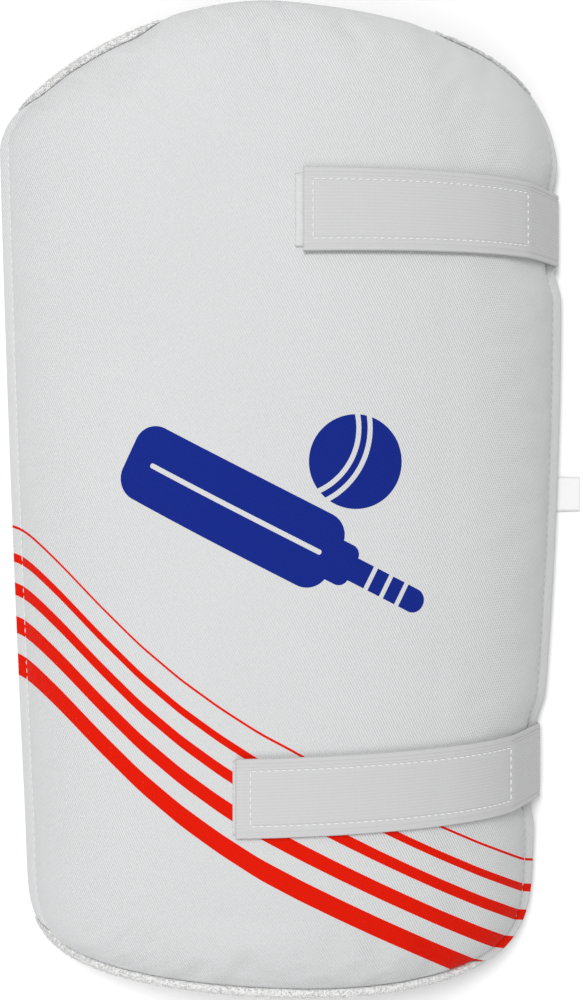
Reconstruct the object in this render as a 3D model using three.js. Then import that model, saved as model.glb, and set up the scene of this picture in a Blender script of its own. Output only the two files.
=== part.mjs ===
// A cricket thigh guard lying on its back lining, with its padded front up.
// Millimetres, +Z up. The apex of the guard points to +Y and its two long
// rims lie along Y, so the thigh goes in along Y under the arch.

import * as THREE from 'three';

// Outline of the guard, seen from above
const LENGTH = 400;
const SHOULDER_WIDTH = 240;
const FOOT_WIDTH = 218.4;

// Arch and padding
const ARCH_RISE = 42;
const PAD_THICKNESS = 20;
const CROWN_INSET = 60;
const FLANGE_THICKNESS = 1.8;
const FLANGE_WIDTH = 4.5;
const LINING_THICKNESS = 2;
const LIP_WIDTH = 4.05;
const LIP_HEIGHT = 1.8;

// Elastic straps and the patches that they grip
const STRAP_WIDTH = 31;
const STRAP_THICKNESS = 1.6;
const STRAP_PINCH = 2;
const PINCH_FADE = 14;
const STRAP_TUCK = 1.5;
const PATCH_WIDTH = 28.5;
const PATCH_THICKNESS = 1.2;
const PATCH_SHOW = 3;

// Folded tag at the right rim
const TAG_LENGTH = 14.5;
const TAG_REACH = 10.5;
const TAG_THICKNESS = 0.8;
const TAG_TUCK = 4;
const TAG_MIDDLE = 2.5;

// Space left between neighbouring pieces
const CLEARANCE = 0.3;

// Facets: rows down each half of the outline, steps from there in to the spine
// and the spine's half length as a share of the guard's, the patches' steps and
// lanes, and the radians that a strap turns in one step
const TOP_ROWS = 12;
const SIDE_ROWS = 18;
const FOOT_ROWS = 12;
const FILL_STEPS = 4;
const SPINE_SHARE = 0.27;
const PATCH_STEPS = 14;
const PATCH_LANES = 3;
const TURN_STEP = 0.35;

// Where the two halves of the outline meet: x is a share of that end's width
const APEX = { x: 0.011, slope: -0.086, width: SHOULDER_WIDTH };
const FOOT = { x: 0.0205, slope: -0.032, width: FOOT_WIDTH };

// The two halves of the outline. shoulder, foot, shoulderPull and cornerPull
// are shares of the length, apexPull and footPull of that end's width, bulge of
// the shoulder width.
const LEFT = {
  side: -1, shoulder: 0.372, foot: -0.337, bulge: 0.003,
  apexPull: 0.2, shoulderPull: 0.063, cornerPull: 0.14, footPull: 0.554,
};
const RIGHT = {
  side: 1, shoulder: 0.301, foot: -0.329, bulge: 0.0146,
  apexPull: 0.426, shoulderPull: 0.13, cornerPull: 0.114, footPull: 0.542,
};

// Stretches where the cover ends at its seam and the lining shows as a lip:
// from, to and fade, over which it comes and goes, are shares of half the
// shoulder width
const LIPS = [
  { end: 1, from: -0.97, to: 0.97, fade: 0.14 },
  { end: -1, from: -0.9, to: 0.74, fade: 0.08 },
];

// How far the padding rolls out over the flange at the top, as a share of the
// flange: at places across that are shares of half the shoulder width. The roll
// comes in between two places along, which are shares of the length.
const ROLLS = [
  { from: -0.52, to: -0.34, share: 0.9 },
  { from: 0.42, to: 0.6, share: -0.4 },
];
const ROLL_START = 0.25;
const ROLL_FULL = 0.4;

// The straps: start is the free end's place as a share of half the shoulder
// width, patch is how far the grip patch runs, at the free end and at the rim
// are shares of the length, and the widths are shares of the strap's width
const STRAPS = [
  {
    name: 'upper', start: 0.077, patch: 0.85, atEnd: 0.282, atRim: 0.2875,
    endWidth: 1.055, rimWidth: 0.985,
  },
  {
    name: 'lower', start: -0.14, patch: 0.8, atEnd: -0.29, atRim: -0.277,
    endWidth: 1, rimWidth: 1.01,
  },
];

// Insets of the mesh rings from the edge, past the flange as shares of the
// distance over which the padding rises
const INNER_RING = FLANGE_WIDTH + 0.3 * CROWN_INSET;
const MIDDLE_RING = FLANGE_WIDTH + 0.1 * CROWN_INSET;
const SHOULDER_RINGS = [0.3, 0.16, 0.06, 0.015];

const clamp = THREE.MathUtils.clamp;
const lerp = THREE.MathUtils.lerp;
const smoothstep = THREE.MathUtils.smoothstep;

// The inward squeeze of the strapped rim at a place along the guard
function pinch(half, y) {
  if (half.side < 0) return 0;
  const squeezes = STRAPS.map((strap) => {
    const away = Math.abs(y - strap.atRim * LENGTH) - STRAP_WIDTH / 2;
    return 1 - smoothstep(away, 0, PINCH_FADE);
  });
  return STRAP_PINCH * Math.max(...squeezes);
}

// Half the guard's width at a place along it, which the arch springs from
function halfWidth(half, y) {
  const share = (y / LENGTH - half.foot) / (half.shoulder - half.foot);
  const straight = lerp(FOOT_WIDTH / 2, SHOULDER_WIDTH / 2, share);
  const swell = 4 * half.bulge * SHOULDER_WIDTH * Math.max(0, share * (1 - share));
  return straight + swell - pinch(half, y);
}

// One half of the outline, from the apex down to the foot
function halfOutline(half) {
  const { side } = half;
  const apex = new THREE.Vector2(APEX.x * APEX.width, LENGTH / 2);
  const foot = new THREE.Vector2(FOOT.x * FOOT.width, -LENGTH / 2);
  const shoulder = new THREE.Vector2(side * SHOULDER_WIDTH / 2, half.shoulder * LENGTH);
  const corner = new THREE.Vector2(side * FOOT_WIDTH / 2, half.foot * LENGTH);
  const middle = shoulder.clone().add(corner).divideScalar(2);
  middle.x += side * 2 * half.bulge * SHOULDER_WIDTH;

  const ahead = (from, towards, distance) => {
    const step = towards.clone().sub(from).setLength(distance);
    return from.clone().add(step);
  };
  const beside = (point, end, pull) => {
    const run = side * pull * end.width;
    return new THREE.Vector2(point.x + run, point.y + run * end.slope);
  };
  const shoulderHandle = ahead(shoulder, middle, -half.shoulderPull * LENGTH);
  const cornerHandle = ahead(corner, middle, -half.cornerPull * LENGTH);
  const top = new THREE.CubicBezierCurve(
    apex, beside(apex, APEX, half.apexPull), shoulderHandle, shoulder,
  );
  const flank = new THREE.QuadraticBezierCurve(shoulder, middle, corner);
  const bottom = new THREE.CubicBezierCurve(
    corner, cornerHandle, beside(foot, FOOT, half.footPull), foot,
  );
  const points = [
    ...top.getPoints(TOP_ROWS),
    ...flank.getPoints(SIDE_ROWS).slice(1),
    ...bottom.getPoints(FOOT_ROWS).slice(1),
  ];
  for (const point of points) point.x -= side * pinch(half, point.y);
  return points;
}

// The whole outline, round from the apex by the left side and back
const leftOutline = halfOutline(LEFT);
const rightOutline = halfOutline(RIGHT);
const outline = [...leftOutline, ...rightOutline.slice(1, -1).reverse()];

// Outward direction at each point of the outline
const outward = outline.map((point, i) => {
  const before = outline[(i + outline.length - 1) % outline.length];
  const after = outline[(i + 1) % outline.length];
  return new THREE.Vector2(after.y - before.y, before.x - after.x).normalize();
});

// Distance from a point to the outline
function inset(x, y) {
  const point = new THREE.Vector3(x, y, 0);
  const near = new THREE.Vector3();
  const distances = outline.map((from, i) => {
    const to = outline[(i + 1) % outline.length];
    const edge = new THREE.Line3(
      new THREE.Vector3(from.x, from.y, 0), new THREE.Vector3(to.x, to.y, 0),
    );
    return edge.closestPointToPoint(point, true, near).distanceTo(point);
  });
  return Math.min(...distances);
}

// Height of a layer above the arch where cover and lining meet. The layer's
// thickness is taken square to the arch, which is level outside its long rims.
function archHeight(x, y, layer) {
  const width = halfWidth(x < 0 ? LEFT : RIGHT, y);
  const across = Math.min(Math.abs(x), width);
  const radius = (width ** 2 + ARCH_RISE ** 2) / (2 * ARCH_RISE);
  const rise = Math.sqrt(radius ** 2 - across ** 2);
  return ARCH_RISE - radius + rise + layer * radius / rise;
}

// How much of the flange the padding covers at a place
function rollShare(x, y) {
  const place = x / (SHOULDER_WIDTH / 2);
  const steps = ROLLS.map((roll) => roll.share * smoothstep(place, roll.from, roll.to));
  const across = steps.reduce((sum, step) => sum + step);
  return across * smoothstep(y / LENGTH, ROLL_START, ROLL_FULL);
}

// How far in from the edge the seam lies at each point of the outline
const seams = outline.map(({ x, y }) => FLANGE_WIDTH * (1 - rollShare(x, y)));

// How far the lining shows past the cover at each point of the outline
const lips = outline.map((point, i) => {
  const place = point.x / (SHOULDER_WIDTH / 2);
  const shares = LIPS.filter((lip) => lip.end * point.y > LENGTH / 4).map((lip) => {
    const rise = smoothstep(place, lip.from, lip.from + lip.fade);
    const fall = 1 - smoothstep(place, lip.to - lip.fade, lip.to);
    return Math.min(rise, fall);
  });
  const free = seams[i] - FLANGE_WIDTH + LIP_WIDTH;
  return Math.max(0, free) * Math.max(0, ...shares);
});

// Thickness of cover and foam at a distance in from the edge, where the seam
// lies a flange's width in
function padDepth(distance) {
  const share = clamp((distance - FLANGE_WIDTH) / CROWN_INSET, 0, 1);
  const rise = Math.sqrt(1 - (1 - share) ** 2);
  return lerp(FLANGE_THICKNESS, PAD_THICKNESS, rise);
}

function padHeight(x, y) {
  return archHeight(x, y, padDepth(inset(x, y) + FLANGE_WIDTH * rollShare(x, y)));
}

// Triangles of a closed body, gathered from quads and corner points
class Body {
  positions = [];
  index = [];

  point(x, y, z) {
    this.positions.push(x, y, z);
    return this.positions.length / 3 - 1;
  }

  triangle(a, b, c) {
    if (a !== b && b !== c && c !== a) this.index.push(a, b, c);
  }

  quad(a, b, c, d, flip = false) {
    if (flip) {
      this.triangle(a, b, d);
      this.triangle(b, c, d);
    } else {
      this.triangle(a, b, c);
      this.triangle(a, c, d);
    }
  }

  geometry() {
    const geometry = new THREE.BufferGeometry();
    geometry.setAttribute('position', new THREE.Float32BufferAttribute(this.positions, 3));
    geometry.setIndex(this.index);
    geometry.computeVertexNormals();
    return geometry;
  }
}

// A ring of points round the guard. out(i) is how far outside the outline the
// point lies and layer(i) its height above the arch.
function ring(body, out, layer) {
  return outline.map((point, i) => {
    const x = point.x + outward[i].x * out(i);
    const y = point.y + outward[i].y * out(i);
    return body.point(x, y, archHeight(x, y, layer(i)));
  });
}

// Fills a ring with columns that run in to a spine along the guard's middle.
// The columns past the spine's ends fan out from them.
function fill(body, edge, height, facesUp) {
  const spots = edge.map((vertex) => new THREE.Vector3().fromArray(body.positions, vertex * 3));
  const mirrored = (i) => (edge.length - i) % edge.length;
  const spine = new Map();
  const spineY = (i) => {
    const middle = (spots[i].y + spots[mirrored(i)].y) / 2;
    return clamp(middle, -SPINE_SHARE * LENGTH, SPINE_SHARE * LENGTH);
  };
  const spineVertex = (y) => {
    if (!spine.has(y)) spine.set(y, body.point(0, y, height(0, y)));
    return spine.get(y);
  };
  const columns = spots.map((spot, i) => {
    const y = spineY(i);
    const column = [edge[i]];
    for (let step = 1; step < FILL_STEPS; step += 1) {
      const share = step / FILL_STEPS;
      const x = lerp(spot.x, 0, share);
      const along = lerp(spot.y, y, share);
      column.push(body.point(x, along, height(x, along)));
    }
    return [...column, spineVertex(y)];
  });
  columns.forEach((column, i) => {
    const next = columns[(i + 1) % columns.length];
    for (let step = 0; step < FILL_STEPS; step += 1) {
      const corners = [column[step], next[step], next[step + 1], column[step + 1]];
      if (facesUp) body.quad(...corners);
      else body.quad(...corners.reverse(), true);
    }
  });
}

// Joins rings that run from the top, out over the edge and back underneath.
// The rings from turn on lie underneath.
function joinRings(body, rings, turn) {
  for (let i = 0; i + 1 < rings.length; i += 1) {
    rings[i].forEach((a, column) => {
      const next = (column + 1) % rings[i].length;
      body.quad(a, rings[i + 1][column], rings[i + 1][next], rings[i][next], i >= turn);
    });
  }
}

// The cover over its foam, pressed flat along the edge
function makeFrontPanel() {
  const body = new Body();
  const under = () => CLEARANCE / 2;
  const rings = [...SHOULDER_RINGS, 0].map((share) => ring(
    body,
    (i) => -seams[i] - share * CROWN_INSET,
    () => padDepth(FLANGE_WIDTH + share * CROWN_INSET),
  ));
  rings.push(ring(body, (i) => -lips[i], () => FLANGE_THICKNESS));
  const turn = rings.length;
  rings.push(ring(body, (i) => -lips[i], under));
  rings.push(ring(body, () => -MIDDLE_RING, under));
  rings.push(ring(body, () => -INNER_RING, under));
  joinRings(body, rings, turn);
  fill(body, rings[0], padHeight, true);
  fill(body, rings.at(-1), (x, y) => archHeight(x, y, CLEARANCE / 2), false);
  return body.geometry();
}

// The towelling lining, rolled up outside the cover's edge where it shows.
// It slides out past the cover's edge before it rolls up, so that it stays
// clear. Its rim is a small loop of points: out is a share of the lip's width,
// up a share of the crest's height, or of the lining's where it is negative.
function makeBackLining() {
  const body = new Body();
  const face = -CLEARANCE / 2;
  const back = face - LINING_THICKNESS;
  const slid = (i) => Math.min(1, lips.at(i % lips.length) / (LIP_WIDTH / 6));
  const isOut = (i) => Math.min(slid(i - 1), slid(i), slid(i + 1)) === 1;
  const rolled = (i) => (isOut(i) ? Math.min(1, lips[i] / (LIP_WIDTH / 3)) : 0);
  const start = (i) => lerp(-3 * CLEARANCE, CLEARANCE, slid(i)) - lips[i];
  const rim = [
    { out: 0.02, up: 0 },
    { out: 0.12, up: 0.7 },
    { out: 0.4, up: 1 },
    { out: 0.8, up: 0.6 },
    { out: 1, up: -0.1 },
    { out: 0.7, up: -0.75 },
    { out: -0.5, up: -1 },
  ];
  const rollWidth = (i) => Math.max(CLEARANCE, lips[i] - CLEARANCE);
  const rings = [
    ring(body, () => -INNER_RING, () => face),
    ring(body, () => -MIDDLE_RING, () => face),
    ring(body, () => -FLANGE_WIDTH - CLEARANCE, () => face),
  ];
  for (const spot of rim) {
    rings.push(ring(
      body,
      (i) => start(i) + spot.out * rollWidth(i),
      (i) => face + spot.up * (spot.up > 0 ? LIP_HEIGHT * rolled(i) : LINING_THICKNESS),
    ));
  }
  rings.push(ring(body, () => -MIDDLE_RING, () => back));
  rings.push(ring(body, () => -INNER_RING, () => back));
  joinRings(body, rings, rings.length - 3);
  fill(body, rings[0], (x, y) => archHeight(x, y, face), true);
  fill(body, rings.at(-1), (x, y) => archHeight(x, y, back), false);
  return body.geometry();
}

// The strap's middle line and width, from the free end at 0 to the rim at 1
function strapMiddle(strap, share) {
  return LENGTH * lerp(strap.atEnd, strap.atRim, share);
}

// A point a little way off the pad, clear of its curve and of its facets
function restingPoint(pad, x, y, gap) {
  const above = new THREE.Vector3(x, y, LENGTH);
  const ray = new THREE.Raycaster(above, new THREE.Vector3(0, 0, -1));
  const [hit] = ray.intersectObject(pad);
  return [x, y, Math.max(hit.point.z, padHeight(x, y)) + gap / hit.face.normal.z];
}

// The grip patch that is sewn to the cover under the strap's free end
function makePatch(strap, panel) {
  const pad = new THREE.Mesh(panel);
  const steps = PATCH_STEPS;
  const lanes = PATCH_LANES;
  const body = new Body();
  const half = SHOULDER_WIDTH / 2;
  const from = strap.start * half - PATCH_SHOW;
  const to = strap.patch * half;
  const layer = (gap) => Array.from({ length: steps + 1 }, (_, step) => {
    const x = lerp(from, to, step / steps);
    const middle = strapMiddle(strap, (x - strap.start * half) / (half - strap.start * half));
    return Array.from({ length: lanes + 1 }, (__, lane) => {
      const y = middle + PATCH_WIDTH * (lane / lanes - 0.5);
      return body.point(...restingPoint(pad, x, y, gap));
    });
  });
  const low = layer(CLEARANCE);
  const high = layer(CLEARANCE + PATCH_THICKNESS);
  for (let step = 0; step < steps; step += 1) {
    for (let lane = 0; lane < lanes; lane += 1) {
      body.quad(
        high[step][lane], high[step + 1][lane], high[step + 1][lane + 1], high[step][lane + 1],
      );
      body.quad(
        low[step][lane], low[step][lane + 1], low[step + 1][lane + 1], low[step + 1][lane],
      );
    }
    body.quad(low[step][0], low[step + 1][0], high[step + 1][0], high[step][0]);
    body.quad(high[step][lanes], high[step + 1][lanes], low[step + 1][lanes], low[step][lanes]);
  }
  for (let lane = 0; lane < lanes; lane += 1) {
    body.quad(low[0][lane], high[0][lane], high[0][lane + 1], low[0][lane + 1]);
    body.quad(
      low[steps][lane], low[steps][lane + 1], high[steps][lane + 1], high[steps][lane],
    );
  }
  return body.geometry();
}

// The places in x and z where geometries show between two planes across Y
function pointsBetween(geometries, low, high) {
  const points = [];
  const a = new THREE.Vector3();
  const b = new THREE.Vector3();
  for (const geometry of geometries) {
    const { position } = geometry.attributes;
    const { array } = geometry.index;
    for (let i = 0; i < array.length; i += 1) {
      const next = i % 3 === 2 ? i - 2 : i + 1;
      a.fromBufferAttribute(position, array[i]);
      b.fromBufferAttribute(position, array[next]);
      if (a.y >= low && a.y <= high) points.push(new THREE.Vector2(a.x, a.z));
      for (const plane of [low, high]) {
        if ((a.y - plane) * (b.y - plane) < 0) {
          const cut = a.clone().lerp(b, (plane - a.y) / (b.y - a.y));
          points.push(new THREE.Vector2(cut.x, cut.z));
        }
      }
    }
  }
  return points;
}

// One side of the convex hull of points that are sorted along the way round
function hullChain(points) {
  const chain = [];
  for (const point of points) {
    while (chain.length > 1) {
      const last = chain.at(-1);
      const along = last.clone().sub(chain.at(-2));
      if (along.cross(point.clone().sub(last)) < 0) break;
      chain.pop();
    }
    chain.push(point);
  }
  return chain;
}

// The taut line over the pad from the free end to the floor, clockwise
function tautLine(points, start, floor) {
  const byX = [...points].sort((p, q) => p.x - q.x);
  const over = hullChain(byX);
  const rim = over.at(-1);
  const lowest = byX.reduce((low, p) => (p.x > 0 && p.y < low.y ? p : low), rim);
  const underRim = points.filter((p) => p.x >= lowest.x && p.y <= rim.y);
  const under = hullChain([...underRim].sort((p, q) => q.x - p.x || q.y - p.y));
  const after = over.findIndex((p) => p.x > start);
  const before = over[after - 1];
  const share = (start - before.x) / (over[after].x - before.x);
  const line = [before.clone().lerp(over[after], share)];
  const touchdown = new THREE.Vector2(lowest.x, floor);
  for (const point of [...over.slice(after), ...under.slice(1, -1), touchdown]) {
    if (point.distanceTo(line.at(-1)) > CLEARANCE) line.push(point);
  }
  return line;
}

// Stations of a strap: each has a place on the taut line and the direction
// away from the pad. Sharp turns get a fan of directions.
function strapStations(line, farEnd) {
  const path = [...line, new THREE.Vector2(farEnd, line.at(-1).y)];
  const away = path.slice(1).map((point, i) => {
    const along = point.clone().sub(path[i]).normalize();
    return new THREE.Vector2(-along.y, along.x);
  });
  const stations = [];
  path.forEach((point, i) => {
    const from = away[Math.max(i - 1, 0)];
    const to = away[Math.min(i, away.length - 1)];
    const fan = Math.ceil(from.angleTo(to) / TURN_STEP);
    for (let k = 0; k <= fan; k += 1) {
      const share = fan < 2 ? 0.5 : k / fan;
      if (fan < 2 && k > 0) break;
      stations.push({ point, away: from.clone().lerp(to, share).normalize() });
    }
  });
  return stations;
}

// An elastic strap: from its free end on the front, over the shoulder of the
// pad, round the right rim and straight across the back to the left rim
function makeStrap(strap, covered) {
  const floor = STRAP_THICKNESS + CLEARANCE;
  const places = [strapMiddle(strap, 0), strapMiddle(strap, 1)];
  const reach = STRAP_WIDTH * Math.max(strap.endWidth, strap.rimWidth) / 2;
  const low = Math.min(...places) - reach;
  const high = Math.max(...places) + reach;
  const points = pointsBetween(covered, low, high);
  const start = strap.start * SHOULDER_WIDTH / 2;
  const leftRim = Math.min(...points.map((p) => p.x));
  const line = tautLine(points, start, floor);
  const stations = strapStations(line, leftRim + STRAP_TUCK);

  const body = new Body();
  const overPad = line.slice(1).reduce((sum, p, i) => sum + p.distanceTo(line[i]), 0);
  let travelled = 0;
  let previous = stations[0].point;
  const rows = stations.map(({ point, away }) => {
    travelled += point.distanceTo(previous);
    previous = point;
    const share = travelled / overPad;
    const middle = strapMiddle(strap, share);
    const width = STRAP_WIDTH * lerp(strap.endWidth, strap.rimWidth, Math.min(share, 1));
    const corner = (side, lift) => body.point(
      point.x + away.x * lift, middle + side * width / 2, point.y + away.y * lift,
    );
    const outer = CLEARANCE + STRAP_THICKNESS;
    return [corner(-1, outer), corner(1, outer), corner(1, CLEARANCE), corner(-1, CLEARANCE)];
  });
  for (let i = 0; i + 1 < rows.length; i += 1) {
    for (let k = 0; k < 4; k += 1) {
      const next = (k + 1) % 4;
      body.quad(rows[i][k], rows[i + 1][k], rows[i + 1][next], rows[i][next]);
    }
  }
  body.quad(...rows[0]);
  body.quad(...[...rows.at(-1)].reverse());
  return body.geometry();
}

// The bare folded tag that sticks out from under the right rim
function makeTag() {
  const length = TAG_REACH + TAG_TUCK;
  const tag = new THREE.BoxGeometry(length, TAG_LENGTH, TAG_THICKNESS);
  const edge = halfWidth(RIGHT, TAG_MIDDLE);
  const top = STRAP_THICKNESS;
  return tag.translate(edge - TAG_TUCK + length / 2, TAG_MIDDLE, top - TAG_THICKNESS / 2);
}

const cloth = (color, roughness) => new THREE.MeshStandardMaterial({
  color, roughness, metalness: 0,
});
const coverCloth = cloth(0xe9eaec, 0.8);
const towelling = cloth(0xefefee, 0.95);
const elastic = cloth(0xe2e3e6, 0.85);
const gripTape = cloth(0xe6e7e9, 0.9);
const satin = cloth(0xf2f2f2, 0.6);

const guard = new THREE.Group();

function add(name, geometry, material) {
  const mesh = new THREE.Mesh(geometry, material);
  mesh.name = name;
  guard.add(mesh);
}

// The panel and lining are lifted so that the lowest rim clears the straps
const frontPanel = makeFrontPanel();
const backLining = makeBackLining();
const patches = STRAPS.map((strap) => makePatch(strap, frontPanel));
backLining.computeBoundingBox();
const lift = STRAP_THICKNESS + CLEARANCE - backLining.boundingBox.min.z;
for (const geometry of [frontPanel, backLining, ...patches]) geometry.translate(0, 0, lift);

add('front_panel', frontPanel, coverCloth);
add('back_lining', backLining, towelling);
STRAPS.forEach((strap, i) => {
  add(`${strap.name}_grip_patch`, patches[i], gripTape);
  add(`${strap.name}_strap`, makeStrap(strap, [frontPanel, backLining, patches[i]]), elastic);
});
add('size_label', makeTag(), satin);

// The origin is the middle of the box's underside
const box = new THREE.Box3().setFromObject(guard);
const centre = box.getCenter(new THREE.Vector3());
guard.position.set(-centre.x, -centre.y, -box.min.z);

export default guard;
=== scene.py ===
"""A cricket thigh guard: printed cover, towelling lining, elastic straps and stitching."""

import math

import bpy
import numpy as np
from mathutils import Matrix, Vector, noise


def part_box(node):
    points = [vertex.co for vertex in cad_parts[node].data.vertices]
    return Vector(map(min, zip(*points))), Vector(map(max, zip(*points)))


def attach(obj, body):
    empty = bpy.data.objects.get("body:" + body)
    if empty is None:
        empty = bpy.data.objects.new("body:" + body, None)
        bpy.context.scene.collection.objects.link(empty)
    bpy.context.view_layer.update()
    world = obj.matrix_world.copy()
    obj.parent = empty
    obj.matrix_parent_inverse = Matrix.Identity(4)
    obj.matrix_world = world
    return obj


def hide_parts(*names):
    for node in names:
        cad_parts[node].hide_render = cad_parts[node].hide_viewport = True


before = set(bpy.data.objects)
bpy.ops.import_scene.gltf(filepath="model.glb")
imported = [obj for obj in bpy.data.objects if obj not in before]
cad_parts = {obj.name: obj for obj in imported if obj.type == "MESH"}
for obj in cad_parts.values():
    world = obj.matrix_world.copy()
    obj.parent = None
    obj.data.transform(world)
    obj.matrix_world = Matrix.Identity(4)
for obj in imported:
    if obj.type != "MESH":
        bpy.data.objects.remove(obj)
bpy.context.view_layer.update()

bl_info = {
    "name": "Cricket Thigh Guard",
    "version": (1, 0, 0),
    "blender": (4, 5, 0),
    "location": "View3D > Sidebar > Thigh Guard",
    "description": "Builds a padded cricket thigh guard with its straps and stitching",
    "category": "Add Mesh",
}

MM = 0.001

# Outline, seen from above
LENGTH = 400 * MM
SHOULDER_WIDTH = 240 * MM
FOOT_WIDTH = 218.4 * MM
APEX = {"x": 0.011 * SHOULDER_WIDTH, "y": LENGTH / 2, "slope": -0.086, "width": SHOULDER_WIDTH}
FOOT = {"x": 0.0205 * FOOT_WIDTH, "y": -LENGTH / 2, "slope": -0.032, "width": FOOT_WIDTH}
LEFT = {
    "side": -1, "shoulder": 0.372, "foot": -0.337, "bulge": 0.003,
    "apex_pull": 0.2, "shoulder_pull": 0.063, "corner_pull": 0.14, "foot_pull": 0.554,
}
RIGHT = {
    "side": 1, "shoulder": 0.301, "foot": -0.329, "bulge": 0.0146,
    "apex_pull": 0.426, "shoulder_pull": 0.13, "corner_pull": 0.114, "foot_pull": 0.542,
}
OUTLINE_STEPS = {"top": 130, "flank": 200, "foot": 130}

# Arch, padding and lining
ARCH_RISE = 42 * MM
PAD_THICKNESS = 20 * MM
CROWN_INSET = 60 * MM
FLANGE_WIDTH = 4.5 * MM
FLANGE_THICKNESS = 1.8 * MM
LINING_THICKNESS = 2 * MM
CLEARANCE = 0.3 * MM
SPINE_SHARE = 0.27
FILL_STEPS = 46
FILL_GROWTH = 1.25
SETTLE_FRAMES = 24
MOST_RISE = 1.3 * MM

# Where the cover ends at its seam and the lining shows as a lip: from, to and
# fade are shares of half the shoulder width
LIP_WIDTH = 4.05 * MM
LIP_HEIGHT = 1.8 * MM
LOOPS_PER_COLUMN = 14
LIPS = (
    {"end": 1, "from": -0.97, "to": 0.97, "fade": 0.14},
    {"end": -1, "from": -0.9, "to": 0.74, "fade": 0.08},
)

# How far the padding rolls out over the flange at the top, as a share of the
# flange, at shares of half the shoulder width; it comes in between two shares
# of the length
ROLLS = ({"from": -0.52, "to": -0.34, "share": 0.9}, {"from": 0.42, "to": 0.6, "share": -0.4})
ROLL_START = 0.25
ROLL_FULL = 0.4

# Straps and grip patches; start and patch are shares of half the shoulder
# width, at_end and at_rim of the length, and the widths of STRAP_WIDTH
STRAP_WIDTH = 31 * MM
STRAP_THICKNESS = 1.6 * MM
STRAP_PINCH = 3 * MM
PINCH_FADE = 14 * MM
STRAP_TUCK = 1.5 * MM
PATCH_WIDTH = 28.5 * MM
PATCH_THICKNESS = 1.2 * MM
STRAPS = (
    {
        "name": "upper", "start": 0.077, "patch": 0.85, "at_end": 0.282, "at_rim": 0.2875,
        "end_width": 1.055, "rim_width": 0.985, "show": 3 * MM,
        "stitched": (13.2 * MM, 100.9 * MM),
    },
    {
        "name": "lower", "start": -0.14, "patch": 0.8, "at_end": -0.29, "at_rim": -0.277,
        "end_width": 1.0, "rim_width": 1.01, "show": 1.3 * MM,
        "stitched": (-11 * MM, 94 * MM),
    },
)
RIB_PITCH = 1.25 * MM
STITCH_MARGIN = 4.8 * MM

# Printed stripes, drawn as they look from the camera on the floor's plane: the
# lowest stripe's middle in millimetres, how the others spread from it along the
# way, and each stripe's height above it and its thickness
SWEEP = (
    (-124, -69), (-118.5, -70.4), (-115.8, -71.6), (-110.6, -75.9), (-100, -86.2),
    (-83, -104.1), (-65.6, -121.3), (-48, -136.2), (-31, -148.5), (-13.7, -159.6),
    (3.7, -168.8), (21, -177.2), (38, -185.1), (55.5, -192.8), (64, -196.5), (81.5, -203.6),
    (99, -209.7), (103, -210.7), (124, -213),
)
SWEEP_ROUNDING = 2.5 * MM
SPREAD = ((-124, 1.0), (0, 1.0), (50, 0.955), (102, 0.935), (124, 0.93))
STRIPE_FOLD = 0.8
STRIPES = ((0, 9.2), (16.8, 7.3), (32, 5.4), (45.4, 3.8), (58.6, 1.2))


def lerp(a, b, share):
    return a + (b - a) * share


def smoothstep(value, low, high):
    share = np.clip((value - low) / (high - low), 0, 1)
    return share * share * (3 - 2 * share)


# The guard's form


def pinch(half, y):
    """How far the straps squeeze the rim inward at a place along the guard."""
    if half["side"] < 0:
        return np.zeros_like(y)
    squeeze = np.zeros_like(y)
    for strap in STRAPS:
        away = np.abs(y - strap["at_rim"] * LENGTH) - STRAP_WIDTH / 2
        squeeze = np.maximum(squeeze, 1 - smoothstep(away, 0, PINCH_FADE))
    return STRAP_PINCH * squeeze


def half_width(half, y):
    """Half the width that the arch springs from at a place along the guard."""
    share = (y / LENGTH - half["foot"]) / (half["shoulder"] - half["foot"])
    swell = 4 * half["bulge"] * SHOULDER_WIDTH * np.maximum(0, share * (1 - share))
    return lerp(FOOT_WIDTH / 2, SHOULDER_WIDTH / 2, share) + swell - pinch(half, y)


def bezier(points, steps):
    """A Bezier curve through two, three or four control points."""
    share = np.linspace(0, 1, steps + 1)[:, None]
    points = [np.asarray(point, float)[None, :] for point in points]
    while len(points) > 1:
        points = [lerp(a, b, share) for a, b in zip(points, points[1:])]
    return points[0]


def half_outline(half):
    """One half of the outline, from the apex down to the foot."""
    side = half["side"]
    apex = np.array([APEX["x"], APEX["y"]])
    foot = np.array([FOOT["x"], FOOT["y"]])
    shoulder = np.array([side * SHOULDER_WIDTH / 2, half["shoulder"] * LENGTH])
    corner = np.array([side * FOOT_WIDTH / 2, half["foot"] * LENGTH])
    middle = (shoulder + corner) / 2 + [side * 2 * half["bulge"] * SHOULDER_WIDTH, 0]

    def beyond(point, pull):
        away = point - middle
        return point + away / np.hypot(*away) * pull * LENGTH

    def beside(point, end, pull):
        run = side * pull * end["width"]
        return point + [run, run * end["slope"]]

    top = bezier(
        [apex, beside(apex, APEX, half["apex_pull"]), beyond(shoulder, half["shoulder_pull"]),
         shoulder], OUTLINE_STEPS["top"],
    )
    flank = bezier([shoulder, middle, corner], OUTLINE_STEPS["flank"])
    bottom = bezier(
        [corner, beyond(corner, half["corner_pull"]), beside(foot, FOOT, half["foot_pull"]),
         foot], OUTLINE_STEPS["foot"],
    )
    points = np.vstack([top, flank[1:], bottom[1:]])
    points[:, 0] -= side * pinch(half, points[:, 1])
    return points


OUTLINE = np.vstack([half_outline(LEFT), half_outline(RIGHT)[1:-1][::-1]])
COUNT = len(OUTLINE)
_run = np.roll(OUTLINE, -1, axis=0) - np.roll(OUTLINE, 1, axis=0)
OUTWARD = np.column_stack([_run[:, 1], -_run[:, 0]]) / np.hypot(*_run.T)[:, None]
STEP_LENGTHS = np.hypot(*(np.roll(OUTLINE, -1, axis=0) - OUTLINE).T)


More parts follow.
